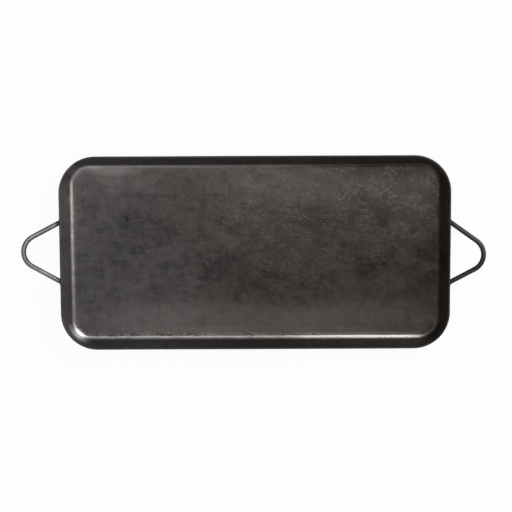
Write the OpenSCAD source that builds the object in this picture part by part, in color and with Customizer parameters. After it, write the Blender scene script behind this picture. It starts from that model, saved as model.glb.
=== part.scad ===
// Camp griddle plate: a shallow formed steel tray with a round-bar handle
// welded to each end wall. X runs along the plate, Y across it, Z is up.
// The origin is the middle of the underside. All sizes are in millimetres.

/* [Plate] */
// Length over the rim
plate_l = 508; // [400:1:700]
// Width over the rim
plate_w = 252; // [200:1:400]
// Height of the rim above the underside
plate_h = 25; // [18:0.5:40]
// Thickness of the steel sheet
sheet_t = 2.5; // [1.5:0.1:4]
// Radius of the rim's corners, seen from above
corner_r = 48; // [36:1:70]
// Radius of the floor's corners, seen from above
floor_r = 18; // [10:1:30]
// Lean of the walls away from upright, in degrees
wall_lean = 22; // [10:1:35]
// Inside radius of the bend between floor and wall
bend_r = 6; // [4:0.5:14]

/* [Handles] */
// Diameter of the round bar, a quarter-inch stock size
bar_d = 6.35; // [4:0.05:8]
// Depth of the bar's feet below the rim
foot_drop = 8; // [7:0.5:12]
// Angle by which the handles rise above level, in degrees
handle_rise = 20; // [0:1:40]

/* [Left handle, bent by hand] */
// Distance between its feet, centre to centre
left_span = 81; // [64:0.5:110]
// Sideways place from the middle of the end wall
left_shift = 2; // [-10:0.5:10]
// Reach beyond the rim
left_reach = 47; // [38:0.5:80]
// Radius of the bend at its tip, on the bar's centre line
left_tip_r = 22; // [14:1:28]
// Sideways set of the tip against the feet
left_skew = 1.5; // [-6:0.5:6]

/* [Right handle, bent by hand] */
// Distance between its feet, centre to centre
right_span = 82.5; // [64:0.5:110]
// Sideways place from the middle of the end wall
right_shift = 0; // [-10:0.5:10]
// Reach beyond the rim
right_reach = 43.5; // [38:0.5:80]
// Radius of the bend at its tip, on the bar's centre line
right_tip_r = 22; // [14:1:28]
// Sideways set of the tip against the feet
right_skew = -2.5; // [-6:0.5:6]

/* [Welds] */
// Leg of the weld fillet round each foot
weld_leg = 3.2; // [2.4:0.1:4]
// Number of overlapping puddles in each weld
weld_puddles = 10; // [8:1:16]

/* [Hidden] */
$fn = 96;
// Slope of the walls above level
wall_slope = 90 - wall_lean;
// Radius of the bend on the sheet's outside, and at the middle of the sheet
bend_out_r = bend_r + sheet_t;
bend_mid_r = bend_r + sheet_t / 2;
// Height of the bend's centre
bend_z = sheet_t + bend_r;
// Height of the rim's centre: the sheet's edge is dressed to a full round
rim_z = plate_h - sheet_t / 2;
// Length of the straight wall between the bend and the rounded edge
wall_run = (rim_z - bend_z + bend_mid_r * cos(wall_slope)) / sin(wall_slope);
// Width of bend and wall seen from above
wall_w = sheet_t / 2 + bend_mid_r * sin(wall_slope) + wall_run * cos(wall_slope);
// How far the middles of the corners move in for each millimetre up: the
// floor's corners are tighter than the rim's
corner_in = round(1000 * (corner_r - wall_w - floor_r) / rim_z) / 1000;
end_in = corner_in * plate_h;
// Margin of the floor that is drawn with the walls; the flat floor laps half of it
floor_margin = 3;
// The bend dips into the floor by a hair, and the floor laps into its foot
bend_sink = 0.002;
floor_lap = sqrt(2 * bend_mid_r * bend_sink);
// Straight stretches of the floor's edge between the corners
straight_l = plate_l - 2 * (wall_w + floor_r);
straight_w = plate_w - 2 * (wall_w + floor_r);
// Height at which the wall's outer face turns straight
wall_foot_z = bend_z - bend_out_r * cos(wall_slope);
// Height and place along X of the bar's feet on the wall's outer face
foot_z = plate_h - foot_drop;
foot_x = straight_l / 2 + floor_r + bend_out_r * sin(wall_slope) + (foot_z - wall_foot_z) / tan(wall_slope);
// Radius of the bar
bar_r = bar_d / 2;
// The bar swells by a hair where straight leg and bent tip run together, and
// both end just short of the middle of that swell
swell_r = bar_r + 0.05;
swell_gap = 0.1;
// Radius of a weld puddle, and how far its centre sits off the bar
puddle_r = 0.72 * weld_leg;
puddle_off = weld_leg - puddle_r;
// The two bars, each with its span, shift, reach, tip radius and skew
left_bar = [left_span, left_shift, left_reach, left_tip_r, left_skew];
right_bar = [right_span, right_shift, right_reach, right_tip_r, right_skew];

// The values of a bar by name
function span(bar) = bar[0];
function shift(bar) = bar[1];
function reach(bar) = bar[2];
function tip_r(bar) = bar[3];
function skew(bar) = bar[4];

// Distance in the handle's plane from the feet to the centre of the tip bend
function tip_u(bar) = (plate_l / 2 + reach(bar) - bar_r - foot_x) / cos(handle_rise) - tip_r(bar);

// Distance across from a foot to the centre of the tip bend
// side is 1 for the rear foot and -1 for the front one
function tip_v(bar, side) = span(bar) / 2 - side * skew(bar);

// Distance from a foot to the centre of the tip bend
function tip_far(bar, side) = norm([tip_u(bar), tip_v(bar, side)]);

// Angle by which a leg leans in to meet the tip bend
function leg_lean(bar, side) = atan2(tip_v(bar, side), tip_u(bar)) - asin(tip_r(bar) / tip_far(bar, side));

// Length of a leg from its foot to the tip bend
function leg_len(bar, side) = sqrt(pow(tip_far(bar, side), 2) - pow(tip_r(bar), 2));

// Share of a leg's direction that leaves the wall squarely
function leg_out(bar, side) = cos(leg_lean(bar, side)) * cos(handle_rise + wall_lean);

// Moves to the centre of the bend, turned along the wall, a hair low so that
// the bend runs into the floor without a step
module along_wall() {
    translate([floor_r, bend_z - bend_sink])
        rotate(wall_slope)
            children();
}

// Section of the bend, the wall and its rounded edge, with the wall lying
// level and the bend's centre at the origin
module wall_section() {
    difference() {
        intersection() {
            circle(r = bend_out_r);
            translate([-bend_out_r, -bend_out_r])
                square([bend_out_r, bend_out_r]);
        }
        circle(r = bend_r);
    }
    translate([0, -bend_out_r])
        square([wall_run, sheet_t]);
    translate([wall_run, -bend_out_r])
        intersection() {
            translate([0, sheet_t / 2])
                circle(d = sheet_t);
            square([sheet_t, sheet_t]);
        }
}

// Section of the sheet from the floor's margin out to the rim
module sheet_section() {
    translate([floor_r - floor_margin, 0])
        square([floor_margin + floor_lap, sheet_t]);
    intersection() {
        along_wall()
            wall_section();
        translate([floor_r, 0])
            square([corner_r, plate_h]);
    }
}

// Section of everything on the cooking side of the end wall's outer face
module inside_section() {
    translate([0, sheet_t])
        square([floor_r, plate_h]);
    translate([floor_r, bend_z])
        circle(r = bend_out_r);
    along_wall()
        translate([0, -bend_out_r])
            square([wall_run + sheet_t, corner_r]);
}

// Runs a section straight along Y, standing up, centred on the X axis
module run_across(length) {
    rotate([90, 0, 0])
        linear_extrude(length, center = true)
            children();
}

// The flat of the floor
module flat_floor() {
    reach = floor_r - floor_margin / 2;
    translate([-straight_l / 2, -straight_w / 2 - reach, 0])
        cube([straight_l, straight_w + 2 * reach, sheet_t]);
    translate([-straight_l / 2 - reach, -straight_w / 2, 0])
        cube([straight_l + 2 * reach, straight_w, sheet_t]);
    for (x = [-1, 1], y = [-1, 1])
        translate([x * straight_l / 2, y * straight_w / 2, 0])
            cylinder(r = reach, h = sheet_t);
}

// One straight wall with its bend, its ends leaning in with the corners
module wall(run) {
    intersection() {
        run_across(run + 2 * abs(end_in))
            sheet_section();
        rotate([90, 0, 90])
            linear_extrude(floor_r + wall_w + sheet_t)
                polygon([
                    [-run / 2, 0],
                    [run / 2, 0],
                    [run / 2 - end_in, plate_h],
                    [-run / 2 + end_in, plate_h],
                ]);
    }
}

// One corner, which widens from the floor's radius to the rim's while its
// middle moves in, so that it runs smoothly into both walls
module corner() {
    multmatrix([[1, 0, -corner_in, 0], [0, 1, -corner_in, 0], [0, 0, 1, 0], [0, 0, 0, 1]])
        rotate_extrude(angle = 90)
            multmatrix([[1, corner_in, 0, 0], [0, 1, 0, 0], [0, 0, 1, 0], [0, 0, 0, 1]])
                sheet_section();
}

// The tray: a flat floor with walls and rounded corners, one piece of sheet
module griddle_plate() {
    color([0.27, 0.26, 0.25])
        union() {
            flat_floor();
            for (turn = [0, 180])
                rotate(turn) {
                    translate([straight_l / 2, 0, 0])
                        wall(straight_w);
                    rotate(90)
                        translate([straight_w / 2, 0, 0])
                            wall(straight_l);
                    translate([straight_l / 2, straight_w / 2, 0])
                        corner();
                    translate([-straight_l / 2, straight_w / 2, 0])
                        rotate(90)
                            corner();
                }
        }
}

// What the right end wall keeps clear of handles and welds
module inside_wall() {
    translate([straight_l / 2, 0, 0])
        run_across(plate_w)
            inside_section();
}

// Moves to a bar's own plane on the right end wall, its origin between the feet
module at_feet(bar) {
    translate([foot_x, shift(bar), foot_z])
        rotate([0, -handle_rise, 0])
            children();
}

// Moves to one foot of a bar, with Z along the leg
module at_leg(bar, side) {
    at_feet(bar)
        translate([0, side * span(bar) / 2, 0])
            rotate(-side * leg_lean(bar, side))
                rotate([0, 90, 0])
                    children();
}

// Straight leg of a bar, from just inside the wall to the tip bend
module leg(bar, side) {
    spare = bar_d / leg_out(bar, side);
    at_leg(bar, side)
        translate([0, 0, -spare])
            cylinder(r = bar_r, h = spare + leg_len(bar, side) - swell_gap);
}

// Swell where a leg runs into the tip bend
module swell(bar, side) {
    at_leg(bar, side)
        translate([0, 0, leg_len(bar, side)])
            sphere(r = swell_r);
}

// Bent tip of a bar between its two legs
module tip(bar) {
    rear = leg_lean(bar, 1);
    front = leg_lean(bar, -1);
    gap = swell_gap / tip_r(bar) * 180 / PI;
    at_feet(bar)
        translate([tip_u(bar), skew(bar), 0])
            rotate(front - 90 + gap)
                rotate_extrude(angle = 180 - rear - front - 2 * gap)
                    translate([tip_r(bar), 0])
                        circle(r = bar_r);
}

// One handle on the right end wall, its feet cut to lie on the wall
module handle(bar) {
    difference() {
        union() {
            for (side = [-1, 1]) {
                leg(bar, side);
                swell(bar, side);
            }
            tip(bar);
        }
        inside_wall();
    }
}

// One weld on the right end wall: a ring of overlapping puddles laid where
// the bar meets the wall
module weld(bar, side) {
    lean = leg_lean(bar, side);
    // Half the length of the slanting cut that the wall makes through the bar
    cut_r = bar_r / leg_out(bar, side);
    // Shares of the leg's direction that climb the wall and run across it
    climb = cos(lean) * sin(handle_rise + wall_lean);
    cross = -side * sin(lean);
    difference() {
        translate([foot_x, shift(bar) + side * span(bar) / 2, foot_z])
            rotate([0, 90 + wall_lean, 0])
                rotate(atan2(cross, -climb))
                    for (puddle = [0 : weld_puddles - 1])
                        translate([
                            (cut_r + puddle_off) * cos(360 * puddle / weld_puddles),
                            (bar_r + puddle_off) * sin(360 * puddle / weld_puddles),
                            0,
                        ])
                            sphere(r = puddle_r);
        leg(bar, side);
        inside_wall();
    }
}

// Turns what is made for the right end wall over to the left one
module on_left() {
    mirror([1, 0, 0])
        children();
}

module left_handle() {
    color([0.55, 0.54, 0.53])
        on_left()
            handle(left_bar);
}

module right_handle() {
    color([0.3, 0.29, 0.29])
        handle(right_bar);
}

module left_weld(side) {
    color([0.2, 0.19, 0.19])
        on_left()
            weld(left_bar, side);
}

module right_weld(side) {
    color([0.2, 0.19, 0.19])
        weld(right_bar, side);
}

griddle_plate();
left_handle();
right_handle();
left_weld(1);  // left_rear_weld
left_weld(-1);  // left_front_weld
right_weld(1);  // right_rear_weld
right_weld(-1);  // right_front_weld
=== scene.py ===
"""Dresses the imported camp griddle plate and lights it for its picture.

The plate is a shallow tray of seasoned steel sheet with a hand-bent round-bar
handle welded to each end wall. Everything is in metres, in the part's own
frame: X along the tray, Y across it towards the rear, Z up, and the origin in
the middle of the underside.
"""

import logging
import math
import random
from collections.abc import Iterable
from dataclasses import dataclass, field, replace
from enum import Enum

import bmesh
import bpy
from mathutils import Matrix, Vector, noise


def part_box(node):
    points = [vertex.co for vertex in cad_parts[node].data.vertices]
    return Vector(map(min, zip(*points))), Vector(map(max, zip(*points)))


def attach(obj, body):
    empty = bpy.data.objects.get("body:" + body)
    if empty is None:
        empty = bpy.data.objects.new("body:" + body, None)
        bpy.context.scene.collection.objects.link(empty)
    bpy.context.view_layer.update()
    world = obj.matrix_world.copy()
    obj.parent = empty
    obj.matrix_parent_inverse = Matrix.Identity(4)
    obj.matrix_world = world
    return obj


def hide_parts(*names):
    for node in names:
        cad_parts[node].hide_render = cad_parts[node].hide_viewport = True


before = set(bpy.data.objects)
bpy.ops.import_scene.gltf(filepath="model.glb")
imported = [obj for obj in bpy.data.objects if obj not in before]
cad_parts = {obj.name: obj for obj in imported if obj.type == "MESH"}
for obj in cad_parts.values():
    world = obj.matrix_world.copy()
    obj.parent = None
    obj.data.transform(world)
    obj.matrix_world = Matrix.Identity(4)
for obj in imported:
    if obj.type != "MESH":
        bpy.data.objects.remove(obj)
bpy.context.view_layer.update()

LOG = logging.getLogger("griddle")
MM = 0.001
SHEET_MERGE = 1e-6
BAR_MERGE = 1e-7
BODY = "root"

Colour = tuple[float, float, float]
Triple = tuple[float, float, float]
Socket = bpy.types.NodeSocket
Mesh = bmesh.types.BMesh


class End(Enum):
    """End of the tray, by its side of the middle along X."""

    LEFT = -1
    RIGHT = 1


class Foot(Enum):
    """Foot of a handle, by its side of the middle along Y."""

    FRONT = -1
    REAR = 1


class BarCoat(Enum):
    """Lighter or darker handle bar, by the record's slot for it."""

    # The two bars differ only in colour: the left one lighter, the right one darker.
    WORN = "worn_bar"
    SCALED = "dark_bar"


def clamped(value: float) -> float:
    """The value kept between 0 and 1."""
    return max(0.0, min(1.0, value))


class Val:
    """A number socket that takes part in sums written in Python."""

    def __init__(self, bench: "NodeBench", socket: Socket) -> None:
        """Keeps the socket and the bench that its sums are made on."""
        self.bench = bench
        self.socket = socket

    def __add__(self, other: "Val | float") -> "Val":
        """Sum of the two."""
        return self.bench.maths("ADD", self, other)

    def __radd__(self, other: "Val | float") -> "Val":
        """Sum of the two."""
        return self.bench.maths("ADD", other, self)

    def __sub__(self, other: "Val | float") -> "Val":
        """Difference of the two."""
        return self.bench.maths("SUBTRACT", self, other)

    def __rsub__(self, other: "Val | float") -> "Val":
        """Difference of the two."""
        return self.bench.maths("SUBTRACT", other, self)

    def __mul__(self, other: "Val | float") -> "Val":
        """Product of the two."""
        return self.bench.maths("MULTIPLY", self, other)

    def __rmul__(self, other: "Val | float") -> "Val":
        """Product of the two."""
        return self.bench.maths("MULTIPLY", other, self)

    def most(self, other: "Val | float") -> "Val":
        """The greater of the two."""
        return self.bench.maths("MAXIMUM", self, other)

    def swing(self, amount: float) -> "Val":
        """How far a noise is from its middle, times an amount."""
        return amount * (self - 0.5)

    def band(self, low: float, high: float) -> "Val":
        """Eases from 0 to 1 between two values.

        Args:
            low: Value that gives 0.
            high: Value that gives 1; it may be the smaller one.

        Returns:
            The eased value.
        """
        if low > high:
            return 1.0 - self.band(high, low)
        span = {0: self, 1: low, 2: high, 3: 0.0, 4: 1.0}
        made = self.bench.node("ShaderNodeMapRange", {"interpolation_type": "SMOOTHSTEP"}, span)
        return Val(self.bench, made.outputs[0])


class NodeBench:
    """Makes the nodes of one material, or of the world."""

    def __init__(self, tree: bpy.types.NodeTree) -> None:
        """Clears the tree to start from nothing."""
        self.tree = tree
        tree.nodes.clear()

    def node(
        self, kind: str, settings: dict | None = None, sockets: dict | None = None,
    ) -> bpy.types.Node:
        """Adds one node, sets it up and then feeds its sockets.

        Args:
            kind: Type name of the node.
            settings: Attributes of the node, which are set first.
            sockets: Values or links by socket name or number.

        Returns:
            The new node.
        """
        made = self.tree.nodes.new(kind)
        for key, value in (settings or {}).items():
            setattr(made, key, value)
        for key, value in (sockets or {}).items():
            target = made.inputs[key]
            source = value.socket if isinstance(value, Val) else value
            if isinstance(source, Socket):
                self.tree.links.new(source, target)
            elif target.type == "RGBA":
                target.default_value = (*source[:3], 1.0)
            else:
                target.default_value = source
        return made

    def maths(self, operation: str, left: Val | float, right: Val | float) -> Val:
        """A Math node on two numbers."""
        made = self.node("ShaderNodeMath", {"operation": operation}, {0: left, 1: right})
        return Val(self, made.outputs[0])

    def vector(self, operation: str, sockets: dict) -> bpy.types.Node:
        """A Vector Math node."""
        return self.node("ShaderNodeVectorMath", {"operation": operation}, sockets)

    def place(self) -> Socket:
        """The point's place in the part's own frame, in metres."""
        return self.node("ShaderNodeTexCoord").outputs["Object"]

    def axes(self, place: Socket) -> tuple[Val, Val, Val]:
        """The three parts of a place."""
        made = self.node("ShaderNodeSeparateXYZ", None, {0: place})
        return Val(self, made.outputs[0]), Val(self, made.outputs[1]), Val(self, made.outputs[2])

    def mark(self, name: str) -> Val:
        """A number that the mesh keeps at its points."""
        made = self.node("ShaderNodeAttribute", {"attribute_name": name})
        return Val(self, made.outputs["Fac"])

    def mark_place(self, name: str) -> Socket:
        """A place that the mesh keeps at its points."""
        return self.node("ShaderNodeAttribute", {"attribute_name": name}).outputs["Vector"]

    def laid(self, place: Socket, size: Triple, turn: float) -> Socket:
        """Lays a pattern of the given stroke size, turned about Z.

        Args:
            place: Place that the pattern starts from.
            size: Length of one unit of the pattern along its own three axes.
            turn: Turn of the pattern in degrees.

        Returns:
            The place to feed to a texture of scale 1.
        """
        sockets = {"Vector": place, "Rotation": (0.0, 0.0, math.radians(turn)), "Scale": size}
        return self.node("ShaderNodeMapping", {"vector_type": "TEXTURE"}, sockets).outputs[0]

    def noise(self, place: Socket, scale: float, detail: float, rough: float) -> Val:
        """Cloudy noise from 0 to 1, mostly near a half."""
        sockets = {"Vector": place, "Scale": scale, "Detail": detail, "Roughness": rough}
        return Val(self, self.node("ShaderNodeTexNoise", None, sockets).outputs[0])

    def warped(self, place: Socket, scale: float, reach: float) -> Socket:
        """Shifts places about by cloudy noise, so that straight marks come out curved.

        Args:
            place: Place to shift.
            scale: Scale of the noise.
            reach: Whole range of the shift.

        Returns:
            The shifted place.
        """
        sockets = {"Vector": place, "Scale": scale, "Detail": 1.0, "Roughness": 0.5}
        drift = self.node("ShaderNodeTexNoise", None, sockets).outputs["Color"]
        centred = self.vector("SUBTRACT", {0: drift, 1: (0.5, 0.5, 0.5)}).outputs[0]
        moved = self.vector("SCALE", {0: centred, "Scale": reach}).outputs[0]
        return self.vector("ADD", {0: place, 1: moved}).outputs[0]

    def spot(self, place: Socket, middle: Triple, reach: Triple, ragged: Val, fray: float) -> Val:
        """A soft-edged patch round a place.

        Args:
            place: Place on the piece.
            middle: Middle of the patch.
            reach: Half sizes of the patch along the three axes.
            ragged: Noise that breaks up its edge.
            fray: How far the noise breaks it up.

        Returns:
            1 inside the patch, easing to 0 outside it.
        """
        moved = self.vector("SUBTRACT", {0: place, 1: middle}).outputs[0]
        scaled = self.vector("DIVIDE", {0: moved, 1: reach}).outputs[0]
        far = Val(self, self.vector("LENGTH", {0: scaled}).outputs["Value"])
        return (far + ragged.swing(fray)).band(1.25, 0.3)

    def blend(self, share: Val, low: Socket | Colour, high: Socket | Colour) -> Socket:
        """Mixes two colours."""
        made = self.node("ShaderNodeMix", {"data_type": "RGBA"}, {0: share, 6: low, 7: high})
        return made.outputs[2]

    def shade(self, colour: Socket, tone: Val) -> Socket:
        """Makes a colour lighter or darker."""
        return self.vector("SCALE", {0: colour, "Scale": tone}).outputs[0]

    def bump(self, height: Val, depth: float, strength: float) -> Socket:
        """Normal of a surface with the given relief."""
        sockets = {"Height": height, "Distance": depth, "Strength": strength}
        return self.node("ShaderNodeBump", None, sockets).outputs[0]

    def surface(self, sockets: dict) -> None:
        """Ends a material's tree in its main shader."""
        shader = self.node("ShaderNodeBsdfPrincipled", None, sockets)
        self.output("ShaderNodeOutputMaterial", shader.outputs[0])

    def output(self, kind: str, shader: Socket) -> None:
        """Ends the tree in a shader's socket."""
        self.node(kind, None, {0: shader})


def new_material(name: str) -> tuple[bpy.types.Material, NodeBench]:
    """Makes an empty node material and the bench to fill it.

    Args:
        name: Name of the material.

    Returns:
        The material and its bench.
    """
    made = bpy.data.materials.new(name)
    made.use_nodes = True
    return made, NodeBench(made.node_tree)


@dataclass(frozen=True)
class Pattern:
    """Cloudy noise with its size in millimetres along its own axes and its turn in degrees."""

    size: Triple
    turn: float = 0.0
    detail: float = 3.0
    rough: float = 0.6

    def on(self, bench: NodeBench, place: Socket) -> Val:
        """Lays the noise on a surface.

        Args:
            bench: Bench of the material.
            place: Place that the noise is laid by.

        Returns:
            The noise, from 0 to 1 and mostly near a half.
        """
        along, across, through = self.size
        laid = bench.laid(place, (along * MM, across * MM, through * MM), self.turn)
        return bench.noise(laid, 1.0, self.detail, self.rough)


@dataclass(frozen=True)
class Patch:
    """A lighter or darker area of the tray, in millimetres from its middle."""

    x: float
    y: float
    reach_x: float
    reach_y: float
    tone: float
    fray: float = 1.6

    def mask(self, bench: NodeBench, place: Socket, ragged: Val) -> Val:
        """Says where the patch lies.

        Args:
            bench: Bench of the material.
            place: Place on the tray.
            ragged: Noise that breaks up its edge.

        Returns:
            1 inside the patch, easing to 0 outside it.
        """
        middle = (self.x * MM, self.y * MM, 0.0)
        reach = (self.reach_x * MM, self.reach_y * MM, 1.0)
        return bench.spot(place, middle, reach, ragged, self.fray)


@dataclass(frozen=True)
class Scuffs:
    """Marks of one length, width and turn, which show where their noise rises from low to high."""

    length: float
    width: float
    turn: float
    low: float
    high: float
    tone: float
    through: float = 10.0

    def mask(self, bench: NodeBench, place: Socket) -> Val:
        """Where the marks lie."""
        marks = Pattern((self.length, self.width, self.through), self.turn, 2.0, 0.5)
        return marks.on(bench, place).band(self.low, self.high)


class SheetMap:
    """What the tray's finish is worked out from: places, marks and the two main patterns.

    Right, rear and up are in metres from the part's origin, and so are the bands taken of them.
    """

    def __init__(self, bench: NodeBench, mottle: Pattern, cloud: Pattern) -> None:
        """Reads the places and marks of the mesh.

        Args:
            bench: Bench of the tray's material.
            mottle: Broad pattern of the sheet.
            cloud: Finer pattern of the sheet.
        """
        self.bench = bench
        self.place = bench.place()
        self.right, self.rear, self.up = bench.axes(self.place)
        self.fold = bench.mark("fold")
        self.rim = bench.mark("rim")
        self.outside = bench.mark("outside")
        self.crumb = bench.mark("crumb")
        self.wall = bench.mark("wall")
        self.mottle = mottle.on(bench, self.place)
        self.cloud = cloud.on(bench, self.place)

    def noise(self, scale: float, detail: float, rough: float) -> Val:
        """Even noise on the sheet."""
        return self.bench.noise(self.place, scale, detail, rough)


@dataclass(frozen=True)
class SeasonedSteel:
    """Dark oiled sheet, wiped and scuffed, greyer at one end and browner at the other, with painted
    highlights on its bends and painted light and shade on its walls.
    """

    name: str = "seasoned_steel"
    grey: Colour = (0.0705, 0.0647, 0.0627)
    brown: Colour = (0.046, 0.0382, 0.033)
    # Sooty black: real grime on the outside, painted shade on the inner walls, and the rim's darkening.
    soot_and_shade: Colour = (0.020, 0.018, 0.017)
    crust: Colour = (0.026, 0.021, 0.018)
    bare: Colour = (0.30, 0.285, 0.27)
    scuffed: Colour = (0.145, 0.132, 0.123)
    # Bright worn steel of the bends, partly standing in for their highlights.
    polished_and_highlit: Colour = (0.68, 0.655, 0.63)
    # White of the painted highlights.
    bright: Colour = (0.98, 0.95, 0.93)
    greenish: Colour = (0.975, 1.0, 0.982)
    purplish: Colour = (1.0, 0.982, 1.005)
    metallic: float = 0.8
    wall_metallic: float = 0.42
    least_rough: float = 0.29
    relief_depth: float = 0.6 * MM
    relief_strength: float = 0.22
    drift_scale: float = 7.0
    temper_scale: float = 42.0
    chip_scale: float = 160.0
    rub_scale: float = 330.0
    grain_scale: float = 480.0
    warp_scale: float = 32.0
    warp_reach: float = 7.0 * MM
    mottle: Pattern = Pattern((50.0, 26.0, 30.0), 3.0, 5.0, 0.62)
    cloud: Pattern = Pattern((15.0, 8.0, 10.0), -4.0, 4.0, 0.62)
    stain: Pattern = Pattern((45.0, 30.0, 30.0), 3.0, 5.0, 0.6)
    smear: Pattern = Pattern((10.0, 7.0, 10.0), -4.0, 4.0, 0.65)
    cluster: Pattern = Pattern((30.0, 18.0, 20.0), -6.0)
    crumbs: Pattern = Pattern((8.5, 3.6, 4.0))
    flecks: Pattern = Pattern((4.5, 3.0, 4.0), 14.0)
    stains_and_shade: tuple[Patch, ...] = (
        # Middle of the face
        Patch(-12, -32, 82, 42, -0.17, 1.0),
        Patch(-40, -18, 34, 22, -0.10, 0.9),
        Patch(-44, -2, 9, 14, -0.14, 0.6),
        Patch(70, -40, 50, 30, -0.10, 0.9),
        # Right end
        Patch(148, -16, 40, 22, -0.24, 1.0),
        Patch(170, 4, 90, 40, -0.14, 1.0),
        Patch(222, -42, 26, 40, -0.26, 1.0),
        Patch(238, 2, 8, 34, -0.32, 1.0),
        # Painted shadow along the foot of the rear wall.
        Patch(160, 105, 66, 10, -0.26, 0.9),
        Patch(162, 48, 16, 20, -0.12, 0.9),
        # Left end
        Patch(-152, 30, 34, 34, -0.16, 0.9),
        Patch(-130, 10, 120, 54, -0.10, 0.9),
        Patch(-206, -18, 14, 18, -0.14, 1.0),
        # Small marks behind the middle
        Patch(-2, 23, 22, 4, -0.30),
        Patch(60, 40, 14, 4, -0.24),
        Patch(80, 40, 14, 18, -0.12, 0.9),
        Patch(-67, 68, 5, 24, -0.24),
    )
    worn_areas: tuple[Patch, ...] = (
        # Along the rear, from left to right
        # This first patch is a painted highlight along the left part of the rear bend.
        Patch(-188, 108, 42, 8, 1.10, 1.0),
        Patch(-180, 97, 76, 18, 0.28, 1.0),
        Patch(-150, 84, 90, 34, 0.08),
        Patch(60, 90, 130, 34, 0.60, 1.0),
        Patch(208, 76, 28, 36, 0.36),
        # Beside the left bend
        Patch(-222, 30, 12, 84, 0.10),
        Patch(-232, 45, 7, 60, 0.22, 1.0),
        # Smears right of the middle
        Patch(146, 24, 50, 26, 0.16, 0.9),
        Patch(40, -48, 20, 14, 0.16, 0.9),
        Patch(106, -19, 22, 5, 0.24),
        Patch(100, -2, 22, 9, 0.18),
        Patch(110, -56, 34, 10, 0.16),
        # Along the front, from left to right
        Patch(-60, -90, 215, 28, 0.66, 0.8),
        Patch(20, -105, 250, 8, 0.50, 0.6),
        Patch(130, -88, 130, 28, 0.84, 0.8),
        # Painted light in the front right corner of the floor, against the walls' shade.
        Patch(224, -95, 18, 12, 0.46, 0.8),
    )
    wall_light_and_shade: tuple[Patch, ...] = (
        # Painted light on the left and rear walls
        Patch(-249, 10, 8, 120, 0.62, 0.8),
        Patch(-249, 76, 8, 46, 0.36, 0.8),
        Patch(-130, 122, 140, 8, 0.44, 0.8),
        # Painted highlights in the two rear corners and painted shade in the front right one
        Patch(-236, 108, 9, 9, 1.2, 0.8),
        Patch(236, 108, 9, 9, 0.6, 0.8),
        Patch(248, -112, 20, 20, -0.85, 0.6),
    )
    # Painted highlights: white patches on the bends and low walls where the lamps' reflections fall,
    # biggest in the front left corner.
    gleams: tuple[Patch, ...] = (
        Patch(-239.5, -111.5, 16, 16, 1.0),
        Patch(-241, 71, 6, 8, 0.14),
        Patch(-212, 110, 14, 6, 0.22),
    )
    scuffs: tuple[Scuffs, ...] = (
        Scuffs(6.0, 2.5, 4.0, 0.53, 0.68, 0.40),
        Scuffs(5.0, 2.4, -34.0, 0.55, 0.69, 0.34),
        Scuffs(4.4, 2.3, 58.0, 0.56, 0.70, 0.28),
        Scuffs(3.4, 2.8, 20.0, 0.55, 0.70, 0.36),
    )
    wipes: tuple[Scuffs, ...] = (
        Scuffs(26.0, 12.0, 2.0, 0.52, 0.58, -0.16),
        Scuffs(10.0, 22.0, 3.0, 0.53, 0.59, -0.14),
        Scuffs(90.0, 2.4, 1.0, 0.54, 0.64, -0.07),
    )

    def grain(self, at: SheetMap) -> Val:
        """Fine grain of the steel."""
        return at.noise(self.grain_scale, 3.0, 0.6)

    def tone(self, at: SheetMap) -> Val:
        """How light or dark the face is.

        Args:
            at: Places and marks of the tray.

        Returns:
            A factor for the steel's colour, about 1.
        """
        stain = self.stain.on(at.bench, at.place)
        smear = self.smear.on(at.bench, at.place)
        tone = 1.04 + stain.swing(0.8) + smear.swing(0.9) + self.grain(at).swing(0.7)
        # Stains and wear, with painted light and shade on the walls, along the rear bend and in the
        # front right corner.
        for patch in self.stains_and_shade + self.worn_areas + self.wall_light_and_shade:
            tone = tone + patch.tone * patch.mask(at.bench, at.place, stain)
        for wipe in self.wipes:
            tone = tone + wipe.tone * wipe.mask(at.bench, at.place)
        return tone

    def worn_zone(self, at: SheetMap) -> Val:
        """Finds where tools have scuffed the face most: its rear right part and its left rear corner.

        Args:
            at: Places and marks of the tray.

        Returns:
            The share of wear.
        """
        rear_half = 0.35 * at.rear.band(-0.06, 0.0) + 0.65 * at.rear.band(0.0, 0.06)
        corner = at.right.band(-0.15, -0.21) * at.rear.band(0.04, 0.09)
        return (rear_half * at.right.band(-0.09, 0.0)).most(corner)

    def scuffing(self, at: SheetMap) -> Val:
        """How far the face is scuffed to greyer steel.

        Args:
            at: Places and marks of the tray.

        Returns:
            The share of scuffed steel.
        """
        wavy = at.bench.warped(at.place, self.warp_scale, self.warp_reach)
        clusters = self.cluster.on(at.bench, at.place).band(0.32, 0.62)
        share = 0.08 * clusters
        for scuff in self.scuffs:
            share = share + scuff.tone * scuff.mask(at.bench, wavy)
        return share * clusters * (0.30 + 0.70 * self.worn_zone(at))

    def face(self, at: SheetMap) -> Socket:
        """Colours the oiled steel: tinted by its end and by heat, stained, wiped and scuffed.

        Args:
            at: Places and marks of the tray.

        Returns:
            The colour.
        """
        bench = at.bench
        drift = at.noise(self.drift_scale, 3.0, 0.5)
        skin = bench.blend((at.right + drift.swing(0.25)).band(-0.20, 0.10), self.grey, self.brown)
        heat = at.noise(self.temper_scale, 2.0, 0.5).band(0.40, 0.62)
        temper = bench.blend(heat, self.purplish, self.greenish)
        skin = bench.vector("MULTIPLY", {0: skin, 1: temper}).outputs[0]
        skin = bench.shade(skin, self.tone(at))
        return bench.blend(self.scuffing(at), skin, self.scuffed)

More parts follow.
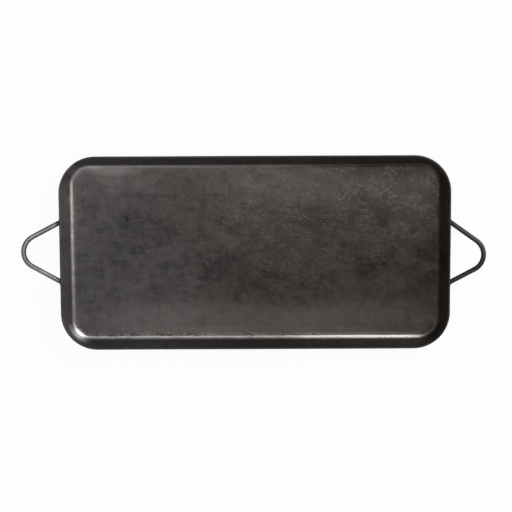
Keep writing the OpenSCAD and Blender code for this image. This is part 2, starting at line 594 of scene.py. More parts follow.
    def sooted_and_shaded(self, at: SheetMap, skin: Socket) -> Socket:
        """Blackens the outside with sooty grime; darkens the inner walls with grime and painted shade,
        darker low down and lighter on the left wall where the light falls; darkens the rim and chips it
        bare in places.

        Args:
            at: Places and marks of the tray.
            skin: Colour so far.

        Returns:
            The new colour.
        """
        bench = at.bench
        outside = 0.55 + 0.30 * at.up.band(0.010, 0.001) + at.mottle.swing(0.9) + at.cloud.swing(0.5)
        skin = bench.blend(at.outside * outside, skin, self.soot_and_shade)
        # Painted shade on the inner walls: darker low down, lighter on the left wall where the light
        # falls, and on the front wall darker towards the right.
        wall = 0.46 - 0.20 * at.up.band(0.008, 0.024) - 0.44 * at.right.band(-0.225, -0.240)
        front_wall = at.rear.band(-0.108, -0.116) * (0.44 * at.right.band(-0.16, 0.0) - 0.14)
        wall = wall + front_wall + at.mottle.swing(0.5) + at.cloud.swing(0.4)
        skin = bench.blend(at.wall * wall, skin, self.soot_and_shade)
        skin = bench.blend(0.45 * at.rim, skin, self.soot_and_shade)
        chips = at.noise(self.chip_scale, 4.0, 0.65).band(0.60, 0.72)
        return bench.blend(at.rim * chips * 0.30, skin, self.bare)

    def fold_polish_and_highlight(self, at: SheetMap) -> Val:
        """Finds how far the bends are worn bright by rubbing, weighted to where they catch the lamps,
        so partly a painted highlight: most at the front, then at the left end.

        Args:
            at: Places and marks of the tray.

        Returns:
            The share of bright steel.
        """
        front = at.rear.band(-0.088, -0.105) * (0.42 + 0.62 * at.right.band(0.02, 0.10))
        along_left = 0.28 + 0.15 * at.rear.band(-0.09, 0.05) - 0.12 * at.rear.band(0.09, 0.105)
        left = at.right.band(-0.205, -0.228) * along_left
        back = 0.12 * at.right.band(0.10, 0.02) + 0.12 * at.right.band(0.00, -0.16)
        uneven = (1.6 - 1.1 * at.right.band(0.0, 0.10)) * (at.cloud - 0.5)
        return front.most(left).most(back) * at.right.band(0.232, 0.198) * (1.0 + uneven)

    def rubbed_and_lit(self, at: SheetMap, skin: Socket) -> Socket:
        """Brightens the bends as worn steel that is partly a painted highlight, and paints highlights
        where they gleam most.

        Args:
            at: Places and marks of the tray.
            skin: Colour so far.

        Returns:
            The new colour.
        """
        bench = at.bench
        rub = 0.6 + 0.8 * at.noise(self.rub_scale, 2.0, 0.5)
        # Worn bright bends, partly painted highlight.
        skin = bench.blend(at.fold * self.fold_polish_and_highlight(at) * rub, skin, self.polished_and_highlit)
        low_wall = (at.fold + 0.55 * at.wall) * at.up.band(0.022, 0.008)
        # Painted highlights, blended towards white.
        for gleam in self.gleams:
            share = gleam.tone * gleam.mask(bench, at.place, at.mottle) * low_wall
            skin = bench.blend(share, skin, self.bright)
        return skin

    def material(self) -> bpy.types.Material:
        """Builds the finish.

        Returns:
            The material for the tray.
        """
        made, bench = new_material(self.name)
        at = SheetMap(bench, self.mottle, self.cloud)
        skin = self.rubbed_and_lit(at, self.sooted_and_shaded(at, self.face(at)))
        edge = at.rear.band(-0.088, -0.104) * at.right.band(0.13, 0.06) * at.crumb
        flecks = self.flecks.on(bench, at.place).band(0.48, 0.60)
        crust = edge * self.crumbs.on(bench, at.place).band(0.53, 0.58) * at.cloud.band(0.36, 0.52)
        skin = bench.blend(edge.band(0.0, 0.7) * flecks * 0.40, skin, self.bare)
        skin = bench.blend(crust * 0.85, skin, self.crust)
        rough = 0.36 + at.mottle.swing(0.20) + at.cloud.swing(0.22) + 0.30 * at.outside
        relief = 0.6 * at.cloud + 0.4 * self.grain(at) + 0.4 * at.mottle + 0.6 * crust
        bench.surface({
            "Base Color": skin,
            "Metallic": self.metallic + (self.wall_metallic - self.metallic) * at.wall,
            "Roughness": rough.most(self.least_rough),
            "Normal": bench.bump(relief, self.relief_depth, self.relief_strength),
        })
        return made


@dataclass(frozen=True)
class BarSteel:
    """Round bar, worn bright on top by hands and dark with mill scale at its sides and feet; the
    lighter top and darker sides are partly painted light from above and painted shade.
    """

    coat: BarCoat
    # Colour of the top: steel worn bright, partly painted light from above.
    rubbed_and_lit: Colour
    # Colour of the sides and feet: mill scale, at the sides partly painted shade.
    scale: Colour
    metallic: float = 0.75
    relief_depth: float = 0.25 * MM
    relief_strength: float = 0.25
    pit_scale: float = 900.0
    drawn: Pattern = Pattern((30.0, 1.3, 1.3))
    patchy: Pattern = Pattern((14.0, 5.0, 5.0), 0.0, 4.0)

    @classmethod
    def of(cls, coat: BarCoat) -> "BarSteel":
        """Picks the colours of the lighter or the darker bar.

        Args:
            coat: Which of the two bars.

        Returns:
            The finish.
        """
        if coat is BarCoat.WORN:
            return cls(coat, (0.27, 0.257, 0.248), (0.034, 0.032, 0.032))
        return cls(coat, (0.054, 0.050, 0.049), (0.013, 0.012, 0.013))

    def material(self) -> bpy.types.Material:
        """Builds the finish.

        Returns:
            The material for one handle.
        """
        made, bench = new_material(self.coat.value)
        bar = bench.mark_place("bar_place")
        drawn = self.drawn.on(bench, bar)
        patchy = self.patchy.on(bench, bar)
        pits = bench.noise(bench.place(), self.pit_scale, 2.0, 0.5)
        # Lighter where the bar faces up: worn by hands, and partly painted light from above; darker at
        # the feet.
        wear = (bench.mark("top") + patchy.swing(0.6) + drawn.swing(0.4)).band(0.56, 0.97)
        wear = wear * (1.0 - 0.9 * (bench.mark("foot") + patchy.swing(0.8)).band(0.30, 0.75))
        tone = 1.0 + drawn.swing(0.7) + patchy.swing(0.8) + pits.swing(0.4)
        relief = 0.5 * drawn + 0.4 * pits + 0.5 * patchy
        bench.surface({
            "Base Color": bench.shade(bench.blend(wear, self.scale, self.rubbed_and_lit), tone),
            "Metallic": self.metallic,
            "Roughness": 0.52 - 0.16 * wear + patchy.swing(0.35),
            "Normal": bench.bump(relief, self.relief_depth, self.relief_strength),
        })
        return made


@dataclass(frozen=True)
class WeldMetal:
    """Weld bead, dull and heat-tinted from straw to blue-grey."""

    name: str = "weld_metal"
    dull: Colour = (0.034, 0.032, 0.032)
    straw: Colour = (0.085, 0.062, 0.040)
    blued: Colour = (0.030, 0.034, 0.046)
    metallic: float = 0.8
    relief_depth: float = 0.2 * MM
    relief_strength: float = 0.35
    heat_scale: float = 210.0
    spatter_scale: float = 1300.0

    def material(self) -> bpy.types.Material:
        """Builds the finish.

        Returns:
            The material for the four beads.
        """
        made, bench = new_material(self.name)
        place = bench.place()
        heat = bench.noise(place, self.heat_scale, 3.0, 0.55)
        spatter = bench.noise(place, self.spatter_scale, 3.0, 0.6)
        skin = bench.blend(heat.band(0.36, 0.52), self.blued, self.dull)
        skin = bench.blend(heat.band(0.54, 0.70), skin, self.straw)
        bench.surface({
            "Base Color": bench.shade(skin, 1.0 + spatter.swing(0.9)),
            "Metallic": self.metallic,
            "Roughness": 0.46 + spatter.swing(0.4),
            "Normal": bench.bump(spatter, self.relief_depth, self.relief_strength),
        })
        return made


def draw_out(bm: Mesh, edges: list) -> tuple[list, list]:
    """Extrudes a ring of edges on the spot.

    Args:
        bm: Mesh of the piece.
        edges: Ring to extrude.

    Returns:
        The new ring's points and its edges.
    """
    made = bmesh.ops.extrude_edge_only(bm, edges=edges)["geom"]
    points = [item for item in made if isinstance(item, bmesh.types.BMVert)]
    fresh = set(points)
    lines = [item for item in made if isinstance(item, bmesh.types.BMEdge)]
    return points, [line for line in lines if set(line.verts) <= fresh]


def finish_piece(
    bm: Mesh, name: str, nodes: Iterable[str], material: bpy.types.Material,
) -> bpy.types.Object:
    """Turns a finished bmesh into a piece that stands for its CAD nodes.

    Args:
        bm: Mesh of the piece, in its place; it is freed here.
        name: Name of the piece.
        nodes: CAD nodes that it stands for.
        material: Its finish.

    Returns:
        The new object.
    """
    for face in bm.faces:
        face.smooth = True
    mesh = bpy.data.meshes.new(name)
    bm.to_mesh(mesh)
    bm.free()
    piece = bpy.data.objects.new(name, mesh)
    bpy.context.scene.collection.objects.link(piece)
    mesh.materials.append(material)
    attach(piece, BODY)
    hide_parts(*nodes)
    LOG.info("%s: %d faces, stands for %s", name, len(mesh.polygons), ", ".join(nodes))
    return piece


@dataclass(frozen=True)
class Ring:
    """One ring of the tray's section, out from the floor's edge and up from the underside.

    Its marks say how far it belongs to the bend, which is worn bright and partly carries painted
    highlight, the rim, the outside, the strip where crumbs gather and the inner wall.
    """

    out: float
    up: float
    fold: float = 0.0
    rim: float = 0.0
    outside: float = 0.0
    crumb: float = 0.0
    wall: float = 0.0

    def towards(self, other: "Ring", share: float) -> "Ring":
        """Moves the ring part of the way to another one.

        Args:
            other: Ring to move towards.
            share: How far to go, from 0 to 1.

        Returns:
            The moved ring, with this one's marks.
        """
        out = self.out + share * (other.out - self.out)
        up = self.up + share * (other.up - self.up)
        return replace(self, out=out, up=up)


@dataclass
class Tray:
    """The formed sheet: flat floor, leaning walls, rounded corners and a round-dressed rim."""

    length: float
    width: float
    height: float
    sheet: float = 2.5 * MM
    corner_r: float = 48.0 * MM
    floor_r: float = 18.0 * MM
    wall_lean: float = math.radians(22.0)
    bend_r: float = 6.0 * MM
    corner_bend_r: float = 8.0 * MM
    margin: float = 5.0 * MM
    cell: float = 6.5 * MM
    corner_steps: int = 28
    bend_steps: int = 12
    wall_steps: int = 3
    rim_steps: int = 8
    floor_swell: float = 0.35 * MM
    swell_waves: float = 11.0
    swell_start: Triple = (3.1, 0.0, 0.0)
    rim_sway: float = 0.45 * MM
    sway_waves: float = 9.0
    sway_start: Triple = (0.0, 7.7, 0.0)
    tremor_waves: float = 70.0
    fold_ripple: float = 0.16 * MM
    ripple_waves: float = 48.0
    finish: SeasonedSteel = field(default_factory=SeasonedSteel)

    def __post_init__(self) -> None:
        """Works out the section's own lengths."""
        self.slope = math.pi / 2 - self.wall_lean
        self.rim_z = self.height - self.sheet / 2
        bend_out, bend_up = self.on_bend(self.bend_r, self.sheet / 2, self.slope)
        self.wall_run = (self.rim_z - bend_up) / math.sin(self.slope)
        self.wall_w = self.sheet / 2 + bend_out + self.wall_run * math.cos(self.slope)
        self.corner_in = (self.corner_r - self.wall_w - self.floor_r) / self.rim_z
        self.half_l = self.length / 2 - self.wall_w - self.floor_r
        self.half_w = self.width / 2 - self.wall_w - self.floor_r

    def bend_start(self, bend_r: float) -> float:
        """How far out a bend of some radius starts, if the wall stays where it is."""
        return (self.bend_r - bend_r) * math.tan(self.slope / 2)

    def on_bend(self, bend_r: float, depth: float, turn: float) -> tuple[float, float]:
        """Point of the section on the bend.

        Args:
            bend_r: Radius of the bend on the cooking side.
            depth: Depth in the sheet from the cooking side.
            turn: Angle round the bend from the floor.

        Returns:
            The point, out and up.
        """
        radius = bend_r + depth
        out = self.bend_start(bend_r) + radius * math.sin(turn)
        return out, self.sheet + bend_r - radius * math.cos(turn)

    def on_wall(self, bend_r: float, depth: float, run: float) -> tuple[float, float]:
        """Point of the section on the wall.

        Args:
            bend_r: Radius of the bend below it.
            depth: Depth in the sheet from the cooking side.
            run: Distance up the wall from the bend.

        Returns:
            The point, out and up.
        """
        out, up = self.on_bend(bend_r, depth, self.slope)
        return out + run * math.cos(self.slope), up + run * math.sin(self.slope)

    def bend_marks(self, share: float) -> dict[str, float]:
        """Marks the bend: crumbs at its foot, then bright worn steel that is partly painted highlight,
        then wall.

        Args:
            share: How far up the bend, from 0 to 1.

        Returns:
            The marks of a ring there, by name.
        """
        return {
            "fold": clamped(min(0.18 + 4.4 * share, 1.75 - 2.0 * share)),
            "crumb": clamped(1.0 - 4.0 * share),
            "wall": clamped(2.0 * share - 0.6),
        }

    def section(self, bend_r: float) -> list[Ring]:
        """Rings from the floor's edge over the rim and back under the floor.

        Args:
            bend_r: Radius of the bend on the cooking side.

        Returns:
            The rings, as many for every radius.
        """
        wall_run = self.wall_run + self.bend_start(bend_r)
        wall_step = wall_run / (self.wall_steps + 1)
        half = self.sheet / 2
        rings = []
        for step in range(self.bend_steps + 1):
            share = step / self.bend_steps
            out, up = self.on_bend(bend_r, 0.0, self.slope * share)
            rings.append(Ring(out, up, **self.bend_marks(share)))
        for step in range(1, self.wall_steps + 1):
            out, up = self.on_wall(bend_r, 0.0, wall_step * step)
            rings.append(Ring(out, up, wall=1.0))
        for step in range(self.rim_steps + 1):
            share = step / self.rim_steps
            rim = math.sin(math.pi * share)
            depth = half - half * math.cos(math.pi * share)
            out, up = self.on_wall(bend_r, depth, wall_run + half * rim)
            rings.append(Ring(out, up, rim=rim, outside=share, wall=1.0))
        for step in range(self.wall_steps, 0, -1):
            out, up = self.on_wall(bend_r, self.sheet, wall_step * step)
            rings.append(Ring(out, up, outside=1.0))
        for step in range(self.bend_steps, -1, -1):
            out, up = self.on_bend(bend_r, self.sheet, self.slope * step / self.bend_steps)
            rings.append(Ring(out, up, outside=1.0))
        rings.append(Ring(-self.margin, 0.0, outside=1.0))
        return rings

    def floor_cuts(self, half: float) -> list[float]:
        """Even places between the corner centres, ends included."""
        count = max(1, round(2 * half / self.cell))
        return [-half + 2 * half * step / count for step in range(count + 1)]

    def floor_blank(self, bm: Mesh) -> None:
        """Lays the flat floor with rounded corners, cut into small cells.

        Args:
            bm: Mesh of the tray, still empty.
        """
        edge_r = self.floor_r - self.margin
        bmesh.ops.create_grid(bm, x_segments=1, y_segments=1, size=1.0)
        bmesh.ops.scale(bm, vec=(self.half_l + edge_r, self.half_w + edge_r, 1.0), verts=bm.verts)
        bmesh.ops.translate(bm, vec=(0.0, 0.0, self.sheet), verts=bm.verts)
        bmesh.ops.bevel(
            bm, geom=bm.verts[:], offset=edge_r, offset_type="OFFSET", segments=self.corner_steps,
            profile=0.5, affect="VERTICES", material=-1, clamp_overlap=False,
        )
        along = Vector((1.0, 0.0, 0.0))
        across = Vector((0.0, 1.0, 0.0))
        for way, half in ((along, self.half_l), (across, self.half_w)):
            for place in self.floor_cuts(half):
                whole = bm.verts[:] + bm.edges[:] + bm.faces[:]
                bmesh.ops.bisect_plane(
                    bm, geom=whole, dist=SHEET_MERGE, plane_co=way * place, plane_no=way,
                )

    def corner_axis(self, place: Vector, height: float) -> Vector:
        """Finds the nearest point of the rectangle between the corner centres.

        Args:
            place: Point of the tray.
            height: Height of the centres, which draw in as it grows.

        Returns:
            The nearest point, seen from above.
        """
        half_l = self.half_l - self.corner_in * height
        half_w = self.half_w - self.corner_in * height
        return Vector((max(-half_l, min(half_l, place.x)), max(-half_w, min(half_w, place.y)), 0.0))

    def on_ring(self, place: Vector, height: float, ring: Ring, soft: Ring) -> Vector:
        """Moves a point of the outline on to the next ring.

        Args:
            place: The point on the ring before.
            height: Height for which that point's corner centre was taken.
            ring: The next ring along the straight walls.
            soft: The same ring in the middle of a corner.

        Returns:
            The point on the next ring.
        """
        axis = self.corner_axis(place, height)
        away = (Vector((place.x, place.y, 0.0)) - axis).normalized()
        ring = ring.towards(soft, (2.0 * away.x * away.y) ** 2)
        drawn = self.corner_in * ring.up
        axis.x *= (self.half_l - drawn) / (self.half_l - self.corner_in * height)
        axis.y *= (self.half_w - drawn) / (self.half_w - self.corner_in * height)
        return axis + away * (self.floor_r + ring.out + drawn) + Vector((0.0, 0.0, ring.up))

    def lay_underside(self, bm: Mesh) -> list:
        """Copies the floor down to the underside, facing down.

        Args:
            bm: Mesh of the tray, so far only its floor.

        Returns:
            The copy's points.
        """
        under = bmesh.ops.duplicate(bm, geom=bm.faces[:])["geom"]
        faces = [item for item in under if isinstance(item, bmesh.types.BMFace)]
        points = [item for item in under if isinstance(item, bmesh.types.BMVert)]
        bmesh.ops.translate(bm, vec=(0.0, 0.0, -self.sheet), verts=points)
        bmesh.ops.reverse_faces(bm, faces=faces)
        return points

    def raise_walls(self, bm: Mesh) -> None:
        """Draws the floor's outline out along the section, ring by ring, to the underside.

        Args:
            bm: Mesh of the tray, so far only its floor.
        """
        marks = ("fold", "rim", "outside", "crumb", "wall")
        layers = {mark: bm.verts.layers.float.new(mark) for mark in marks}
        outline = [edge for edge in bm.edges if edge.is_boundary]
        for vert in self.lay_underside(bm):
            vert[layers["outside"]] = 1.0
        straight = self.section(self.bend_r)
        corner = self.section(self.corner_bend_r)
        for step, (ring, soft) in enumerate(zip(straight, corner)):
            points, outline = draw_out(bm, outline)
            for vert in points:
                height = vert.co.z if step else 0.0
                vert.co = self.on_ring(vert.co, height, ring, soft)
                for mark, layer in layers.items():
                    vert[layer] = getattr(ring, mark)
        bmesh.ops.remove_doubles(bm, verts=bm.verts[:], dist=SHEET_MERGE)

    def hand_form(self, bm: Mesh) -> None:
        """Takes the sheet a little out of true, as forming by hand leaves it.

        Args:
            bm: Mesh of the whole tray.
        """
        fold = bm.verts.layers.float["fold"]
        bm.normal_update()
        for vert in bm.verts:
            place = vert.co.copy()
            flat = Vector((place.x, place.y, 0.0))
            inward = (self.corner_axis(place, place.z) - flat).normalized()
            lift = min(1.0, place.z / self.height)
            slow = noise.noise(flat * self.sway_waves + Vector(self.sway_start))
            sway = 0.5 + 0.35 * slow + 0.15 * noise.noise(flat * self.tremor_waves)
            swell = 0.5 + 0.5 * noise.noise(flat * self.swell_waves + Vector(self.swell_start))
            ripple = noise.noise(place * self.ripple_waves) * vert[fold]
            vert.co = place + inward * (self.rim_sway * sway * lift)
            vert.co += vert.normal * (self.fold_ripple * ripple)
            vert.co.z += self.floor_swell * clamped(swell)

    def build(self) -> bpy.types.Object:
        """Makes and dresses the tray.

        Returns:
            The tray's piece.
        """
        bm = bmesh.new()
        self.floor_blank(bm)
        self.raise_walls(bm)
        bmesh.ops.recalc_face_normals(bm, faces=bm.faces[:])
        self.hand_form(bm)
        material = self.finish.material()
        return finish_piece(bm, "formed_tray", ("griddle_plate",), material)


@dataclass
class LoopHandle:
    """One bent bar with its two feet on an end wall of the tray, and its two welds."""

    end: End
    coat: BarCoat
    span: float
    shift: float
    reach: float
    skew: float
    tray: Tray
    tip_r: float = 22.0 * MM
    bar_d: float = 6.35 * MM
    rise: float = math.radians(20.0)
    foot_drop: float = 8.0 * MM
    weld_leg: float = 3.2 * MM
    sides: int = 40
    leg_steps: int = 24
    tip_steps: int = 36
    sunk: float = 1.2 * MM
    dents: float = 0.07 * MM
    dent_waves: float = 120.0
    foot_reach: float = 16.0 * MM
    ripples: int = 24
    ripple_share: float = 0.72
    ripple_stray: float = 0.3
    ripple_least: float = 0.86
    ripple_tilt: float = math.radians(24.0)
    ripple_flat: float = 0.46
    ripple_sides: int = 24
    ripple_rings: int = 14
    voxel: float = 0.26 * MM
    smoothings: int = 2

    def __post_init__(self) -> None:
        """Works out the feet and the bend's centre in the bar's own plane."""
        tray = self.tray
        self.bar_r = self.bar_d / 2
        out, up = tray.on_wall(tray.bend_r, tray.sheet, 0.0)
        self.foot_z = tray.height - self.foot_drop
        self.foot_x = tray.half_l + tray.floor_r + out + (self.foot_z - up) / math.tan(tray.slope)
        far = tray.length / 2 + self.reach - self.bar_r - self.foot_x
        self.tip_u = far / math.cos(self.rise) - self.tip_r

    def lean(self, foot: Foot) -> float:
        """Works out how far a leg leans in to meet the tip bend.

        Args:
            foot: Foot that the leg starts from.

        Returns:
            The angle, within the bar's own plane.
        """
        across = self.span / 2 - foot.value * self.skew
        far = math.hypot(self.tip_u, across)
        return math.atan2(across, self.tip_u) - math.asin(self.tip_r / far)

    def leg_length(self, foot: Foot) -> float:
        """Length of a leg from its foot to the tip bend."""
        across = self.span / 2 - foot.value * self.skew
        return math.sqrt(self.tip_u ** 2 + across ** 2 - self.tip_r ** 2)

    def foot_place(self, foot: Foot) -> Vector:
        """Middle of a foot on the right end wall."""
        return Vector((self.foot_x, self.shift + foot.value * self.span / 2, self.foot_z))

    def plane(self) -> Matrix:
        """Place of the bar's own plane on the right end wall."""
        place = Matrix.Translation((self.foot_x, self.shift, self.foot_z))
        return place @ Matrix.Rotation(-self.rise, 4, "Y")

    def wall_out(self) -> Vector:
        """Direction straight out of the right end wall."""
        return Vector((math.cos(self.tray.wall_lean), 0.0, -math.sin(self.tray.wall_lean)))

    def to_end(self, bm: Mesh) -> None:
        """Turns what is made for the right end over to the handle's own end.

        Args:
            bm: Mesh of a bar or a weld.
        """
        if self.end is End.LEFT:
            bmesh.ops.scale(bm, vec=(-1.0, 1.0, 1.0), verts=bm.verts)
        bmesh.ops.recalc_face_normals(bm, faces=bm.faces[:])

    def trim_at_wall(self, bm: Mesh) -> None:
        """Cuts away what would reach through the end wall, and closes the cut.

        Args:
            bm: Mesh of a bar or a weld, on the right end wall.
        """
        outward = self.wall_out()
        place = Vector((self.foot_x, 0.0, self.foot_z)) - outward * self.sunk
        whole = bm.verts[:] + bm.edges[:] + bm.faces[:]
        bmesh.ops.bisect_plane(
            bm, geom=whole, dist=BAR_MERGE, plane_co=place, plane_no=outward, clear_inner=True,
        )
        bmesh.ops.holes_fill(bm, edges=[edge for edge in bm.edges if edge.is_boundary], sides=0)

    def draw_on(self, bm: Mesh, edges: list, way: Vector, length: float) -> list:
        """Draws a ring of edges straight on in even steps.

        Args:
            bm: Mesh of the bar.
            edges: Ring to draw on.
            way: Direction, of length 1.
            length: Distance to go.

        Returns:
            The last ring of edges.
        """
        for _ in range(self.leg_steps):
            points, edges = draw_out(bm, edges)
            bmesh.ops.translate(bm, vec=way * (length / self.leg_steps), verts=points)
        return edges

    def bend_bar(self, bm: Mesh) -> None:
        """Draws the front leg, bends the tip and draws the rear leg.

        Args:
            bm: Mesh of the bar, still empty.
        """
        front = self.lean(Foot.FRONT)
        rear = self.lean(Foot.REAR)
        spare = 2.0 * self.bar_d
        way = Vector((math.cos(front), math.sin(front), 0.0))
        start = Vector((0.0, -self.span / 2, 0.0)) - way * spare
        stand = Matrix.Translation(start) @ way.to_track_quat("Z", "Y").to_matrix().to_4x4()
        bmesh.ops.create_circle(
            bm, cap_ends=False, segments=self.sides, radius=self.bar_r, matrix=stand,
        )
        ring = self.draw_on(bm, bm.edges[:], way, spare + self.leg_length(Foot.FRONT))
        corners = list({vert for edge in ring for vert in edge.verts})
        made = bmesh.ops.spin(
            bm, geom=corners + ring, cent=(self.tip_u, self.skew, 0.0), axis=(0.0, 0.0, 1.0),
            dvec=(0.0, 0.0, 0.0), angle=math.pi - front - rear, steps=self.tip_steps,
            use_merge=False, use_normal_flip=False, use_duplicate=False,
        )["geom_last"]
        ring = [item for item in made if isinstance(item, bmesh.types.BMEdge)]
        back = Vector((-math.cos(rear), math.sin(rear), 0.0))
        self.draw_on(bm, ring, back, self.leg_length(Foot.REAR) + spare)
        bmesh.ops.remove_doubles(bm, verts=bm.verts[:], dist=BAR_MERGE)

    def from_tip(self, place: Vector) -> Vector:
        """A point's place in the bar's plane, seen from the centre of the tip bend."""
        return Vector((place.x, place.y, 0.0)) - Vector((self.tip_u, self.skew, 0.0))

    def side_of_bar(self, place: Vector) -> float:
        """Measures how far a point is from the bar's centre line, within the bar's plane.

        Args:
            place: The point.

        Returns:
            The distance, positive on the outside of the loop.
        """
        flat = self.from_tip(place)
        for foot in Foot:
            lean = self.lean(foot)
            way = Vector((math.cos(lean), -foot.value * math.sin(lean), 0.0))
            outward = Vector((math.sin(lean), foot.value * math.cos(lean), 0.0))
            if flat.dot(way) < 0.0 and flat.y * foot.value > 0.0:
                return flat.dot(outward) - self.tip_r
        return flat.length - self.tip_r

    def mark_bar(self, bm: Mesh) -> None:
        """Notes each point's place along and round the bar, while it lies in its own plane.

        Args:
            bm: Mesh of the bar.
        """
        layer = bm.verts.layers.float_vector.new("bar_place")
        for vert in bm.verts:
            flat = self.from_tip(vert.co)
            round_tip = math.atan2(flat.y, flat.x) * self.tip_r
            vert[layer] = Vector((round_tip, self.side_of_bar(vert.co), vert.co.z))

    def age_bar(self, bm: Mesh) -> None:
        """Dents the bar slightly and notes its top side and its feet.

        Args:
            bm: Mesh of the bar, in its place.
        """
        top = bm.verts.layers.float.new("top")
        foot_mark = bm.verts.layers.float.new("foot")
        bm.normal_update()
        mirror = Vector((self.end.value, 1.0, 1.0))
        feet = [self.foot_place(foot) * mirror for foot in Foot]
        for vert in bm.verts:
            near = min((vert.co - foot).length for foot in feet)
            # How far the point faces up, which the finish lightens, partly as painted light.
            vert[top] = vert.normal.z
            vert[foot_mark] = clamped(1.0 - near / self.foot_reach)
            dent = 0.5 + 0.5 * noise.noise(vert.co * self.dent_waves)
            vert.co -= vert.normal * (self.dents * clamped(dent))

    def build_bar(self) -> bpy.types.Object:
        """Makes and dresses the bar.

        Returns:
            The bar's piece.
        """
        bm = bmesh.new()
        self.bend_bar(bm)
        self.mark_bar(bm)
        bmesh.ops.transform(bm, matrix=self.plane(), verts=bm.verts)
        self.trim_at_wall(bm)
        self.to_end(bm)
        self.age_bar(bm)
        side = self.end.name.lower()
        material = BarSteel.of(self.coat).material()
        return finish_piece(bm, f"{side}_bent_bar", (f"{side}_handle",), material)

    def weld_stand(self, foot: Foot) -> Matrix:
        """Places a weld's ring on the right end wall.

        Args:
            foot: Foot that the weld holds.

        Returns:
            The ring's place, X along its longer axis and Z straight out of the wall.
        """
        lean = self.lean(foot)
        climb = math.cos(lean) * math.sin(self.rise + self.tray.wall_lean)
        cross = -foot.value * math.sin(lean)
        tilt = Matrix.Rotation(math.pi / 2 + self.tray.wall_lean, 4, "Y")
        turn = Matrix.Rotation(math.atan2(cross, -climb), 4, "Z")
        return Matrix.Translation(self.foot_place(foot)) @ tilt @ turn

    def lay_ripples(self, bm: Mesh, foot: Foot) -> None:
        """Lays overlapping ripples of weld metal round a foot.

        Args:
            bm: Mesh of the weld, still empty.
            foot: Foot that it holds.
        """
        draw = random.Random(f"{self.end.name} {foot.name}")
        square = math.cos(self.lean(foot)) * math.cos(self.rise + self.tray.wall_lean)
        ripple_r = self.ripple_share * self.weld_leg
        long_r = self.bar_r / square + self.weld_leg - ripple_r
        short_r = self.bar_r + self.weld_leg - ripple_r
        stand = self.weld_stand(foot)
        squash = Matrix.Diagonal((self.ripple_flat, 1.0, 1.0, 1.0))
        leant = Matrix.Rotation(self.ripple_tilt, 4, "Y") @ squash
        for step in range(self.ripples):
            turn = 2 * math.pi * (step + self.ripple_stray * draw.random()) / self.ripples
            size = ripple_r * draw.uniform(self.ripple_least, 1.0)
            place = Matrix.Translation((long_r * math.cos(turn), short_r * math.sin(turn), 0.0))
            heading = math.atan2(short_r * math.cos(turn), -long_r * math.sin(turn))
            bmesh.ops.create_uvsphere(
                bm, u_segments=self.ripple_sides, v_segments=self.ripple_rings, radius=size,
                matrix=stand @ place @ Matrix.Rotation(heading, 4, "Z") @ leant,
            )

    def fuse(self, bm: Mesh) -> None:
        """Melts the ripples of a weld into one skin.

        Args:
            bm: Mesh of the ripples, which the skin replaces.
        """
        mesh = bpy.data.meshes.new("ripples")
        bm.to_mesh(mesh)
        melt = bpy.data.objects.new("ripples", mesh)
        bpy.context.scene.collection.objects.link(melt)
        remesh = melt.modifiers.new("melt", "REMESH")
        remesh.mode = "VOXEL"
        remesh.voxel_size = self.voxel
        bpy.context.view_layer.update()
        melted = melt.evaluated_get(bpy.context.evaluated_depsgraph_get())
        skin = bpy.data.meshes.new_from_object(melted)
        bm.clear()
        bm.from_mesh(skin)
        bpy.data.objects.remove(melt)
        bpy.data.meshes.remove(mesh)
        bpy.data.meshes.remove(skin)
        for _ in range(self.smoothings):
            bmesh.ops.smooth_vert(
                bm, verts=bm.verts[:], factor=0.5, use_axis_x=True, use_axis_y=True, use_axis_z=True,
            )

    def build_weld(self, foot: Foot, material: bpy.types.Material) -> bpy.types.Object:
        """Makes and dresses one weld bead.

        Args:
            foot: Foot of the bar that it holds.
            material: Finish of the weld metal.

        Returns:
            The bead's piece.
        """
        bm = bmesh.new()
        self.lay_ripples(bm, foot)
        self.fuse(bm)
        self.trim_at_wall(bm)
        self.to_end(bm)
        name = f"{self.end.name.lower()}_{foot.name.lower()}"
        return finish_piece(bm, f"{name}_bead", (f"{name}_weld",), material)


@dataclass(frozen=True)
class Softbox:
    """A lamp behind a soft cloth, placed by its angles from straight overhead."""

    name: str
    to_right: float
    to_rear: float
    size_x: float
    size_y: float
    glow: float
    away: float = 1.8

    def hang(self) -> None:
        """Hangs the lamp, aimed at the plate."""
        right = math.tan(math.radians(self.to_right))
        rear = math.tan(math.radians(self.to_rear))
        way = Vector((right, rear, 1.0)).normalized()
        lamp = bpy.data.lights.new(self.name, "AREA")
        lamp.shape = "RECTANGLE"
        lamp.size = self.size_x
        lamp.size_y = self.size_y
        lamp.energy = self.glow * math.pi * self.size_x * self.size_y
        hung = bpy.data.objects.new(self.name, lamp)
        hung.location = way * self.away
        hung.rotation_mode = "QUATERNION"
        hung.rotation_quaternion = way.to_track_quat("Z", "Y")
        bpy.context.scene.collection.objects.link(hung)


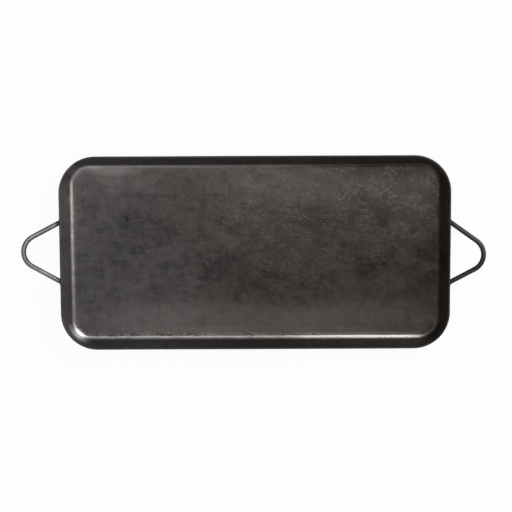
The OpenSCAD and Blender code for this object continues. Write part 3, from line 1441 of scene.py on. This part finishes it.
@dataclass
class Studio:
    """Pale floor, soft lamps and the camera nearly overhead."""

    floor_half: float = 5.0
    floor_cells: int = 8
    floor_drop: float = 0.2 * MM
    floor_colour: Colour = (0.80, 0.80, 0.80)
    floor_white: float = 0.95
    overhead: Colour = (0.16, 0.16, 0.16)
    horizon: Colour = (0.50, 0.50, 0.50)
    skirting: Colour = (0.95, 0.95, 0.95)
    dimming: tuple[float, float] = (0.03, 0.36)
    skirting_fade: tuple[float, float] = (0.04, 0.01)
    lens: float = 61.80
    sensor: float = 36.0
    nearest: float = 0.01
    camera_at: Triple = (1.1 * MM, 82.0 * MM, 1162.0 * MM)
    camera_pitch: float = -4.3
    camera_roll: float = -0.26
    lamps: tuple[Softbox, ...] = (
        Softbox("ceiling", -10.0, 2.0, 2.30, 1.60, 0.69),
        Softbox("key", 46.0, 50.0, 0.80, 0.80, 6.6),
        Softbox("rear_panel", 2.0, 20.0, 1.70, 0.40, 2.2),
        Softbox("front_fill", -14.0, -60.0, 1.40, 0.70, 1.3),
        Softbox("side_panel", 44.0, 6.0, 0.60, 1.30, 2.6),
    )

    def lay_floor(self) -> None:
        """Lays the floor, which shows white but keeps a soft shadow."""
        bm = bmesh.new()
        cells = self.floor_cells
        bmesh.ops.create_grid(bm, x_segments=cells, y_segments=cells, size=self.floor_half)
        bmesh.ops.translate(bm, vec=(0.0, 0.0, -self.floor_drop), verts=bm.verts)
        mesh = bpy.data.meshes.new("studio_floor")
        bm.to_mesh(mesh)
        bm.free()
        floor = bpy.data.objects.new("studio_floor", mesh)
        bpy.context.scene.collection.objects.link(floor)
        mesh.materials.append(self.floor_paint())

    def floor_paint(self) -> bpy.types.Material:
        """Builds the floor's paint.

        Returns:
            A pale matt paint that cameras and reflections see nearly white.
        """
        made, bench = new_material("floor_paint")
        path = bench.node("ShaderNodeLightPath")
        seen = Val(bench, path.outputs["Is Camera Ray"])
        seen = seen + Val(bench, path.outputs["Is Glossy Ray"])
        seen = seen.most(Val(bench, path.outputs["Is Transmission Ray"]))
        share = seen.band(0.0, 1.0) * self.floor_white
        matt = bench.node("ShaderNodeBsdfDiffuse", None, {"Color": self.floor_colour}).outputs[0]
        white = {"Color": (1.0, 1.0, 1.0), "Strength": 1.0}
        glow = bench.node("ShaderNodeEmission", None, white).outputs[0]
        mixed = bench.node("ShaderNodeMixShader", None, {0: share, 1: matt, 2: glow})
        bench.output("ShaderNodeOutputMaterial", mixed.outputs[0])
        return made

    def light_room(self) -> None:
        """Gives the room a pale wall light, white at its foot and dim overhead, and hangs the lamps."""
        world = bpy.data.worlds.new("studio")
        world.use_nodes = True
        bpy.context.scene.world = world
        bench = NodeBench(world.node_tree)
        way = bench.node("ShaderNodeTexCoord").outputs["Generated"]
        _, _, up = bench.axes(way)
        colour = bench.blend(up.band(*self.dimming), self.horizon, self.overhead)
        colour = bench.blend(up.band(*self.skirting_fade), colour, self.skirting)
        glow = bench.node("ShaderNodeBackground", None, {"Color": colour, "Strength": 1.0})
        bench.output("ShaderNodeOutputWorld", glow.outputs[0])
        for lamp in self.lamps:
            lamp.hang()

    def set_camera(self) -> None:
        """Sets the camera where the photograph was taken from."""
        lens = bpy.data.cameras.new("camera")
        lens.sensor_width = self.sensor
        lens.lens = self.lens
        lens.clip_start = self.nearest
        camera = bpy.data.objects.new("camera", lens)
        pitch = Matrix.Rotation(math.radians(self.camera_pitch), 4, "X")
        roll = Matrix.Rotation(math.radians(self.camera_roll), 4, "Z")
        camera.matrix_world = Matrix.Translation(self.camera_at) @ pitch @ roll
        bpy.context.scene.collection.objects.link(camera)
        bpy.context.scene.camera = camera
        bpy.context.scene.view_settings.view_transform = "Standard"

    def build(self) -> None:
        """Sets up the whole studio."""
        self.lay_floor()
        self.light_room()
        self.set_camera()


def main() -> None:
    """Builds the studio, the tray, the two handles and their welds."""
    logging.basicConfig(level=logging.INFO, format="%(name)s: %(message)s")
    Studio().build()
    low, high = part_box("griddle_plate")
    tray = Tray(length=high.x - low.x, width=high.y - low.y, height=high.z - low.z)
    tray.build()
    handles = (
        LoopHandle(
            End.LEFT, BarCoat.WORN, span=81.0 * MM, shift=2.0 * MM, reach=47.0 * MM,
            skew=1.5 * MM, tray=tray,
        ),
        LoopHandle(
            End.RIGHT, BarCoat.SCALED, span=82.5 * MM, shift=0.0, reach=43.5 * MM,
            skew=-2.5 * MM, tray=tray,
        ),
    )
    weld_metal = WeldMetal().material()
    for handle in handles:
        handle.build_bar()
        for foot in Foot:
            handle.build_weld(foot, weld_metal)


if __name__ == "__main__":
    main()
